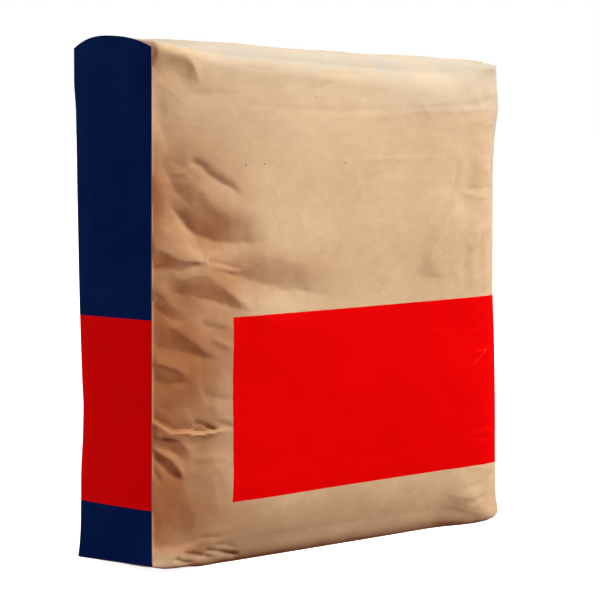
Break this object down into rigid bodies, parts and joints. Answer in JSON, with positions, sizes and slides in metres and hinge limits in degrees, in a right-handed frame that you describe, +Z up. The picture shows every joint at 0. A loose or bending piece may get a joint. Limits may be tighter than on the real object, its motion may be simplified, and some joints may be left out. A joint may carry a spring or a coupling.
{
  "type": "cement bag",
  "caption": "Filled kraft-paper cement sack with flat pasted block ends, standing on its long side, with a plain colour panel on its front and a coloured band across its ends.",
  "frame": {"origin": "on the floor under the middle of the sack's bounding box", "axes": "+X along the paper tube, from the left block end to the right one; the printed front face looks along -Y; +Z up"},
  "size_m": [0.3944, 0.1056, 0.4047],
  "materials": {
    "kraft_paper": "natural brown kraft paper, creased and matt, with a red ink panel",
    "printed_cover": "kraft paper printed all over in navy ink, with a red band",
    "sleeve_paper": "plain kraft paper, matt"
  },
  "bodies": {
    "root": {"paper_sack": "kraft_paper", "end_cover_left": "printed_cover", "end_cover_right": "printed_cover", "valve_sleeve": "sleeve_paper"}
  },
  "joints": []
}
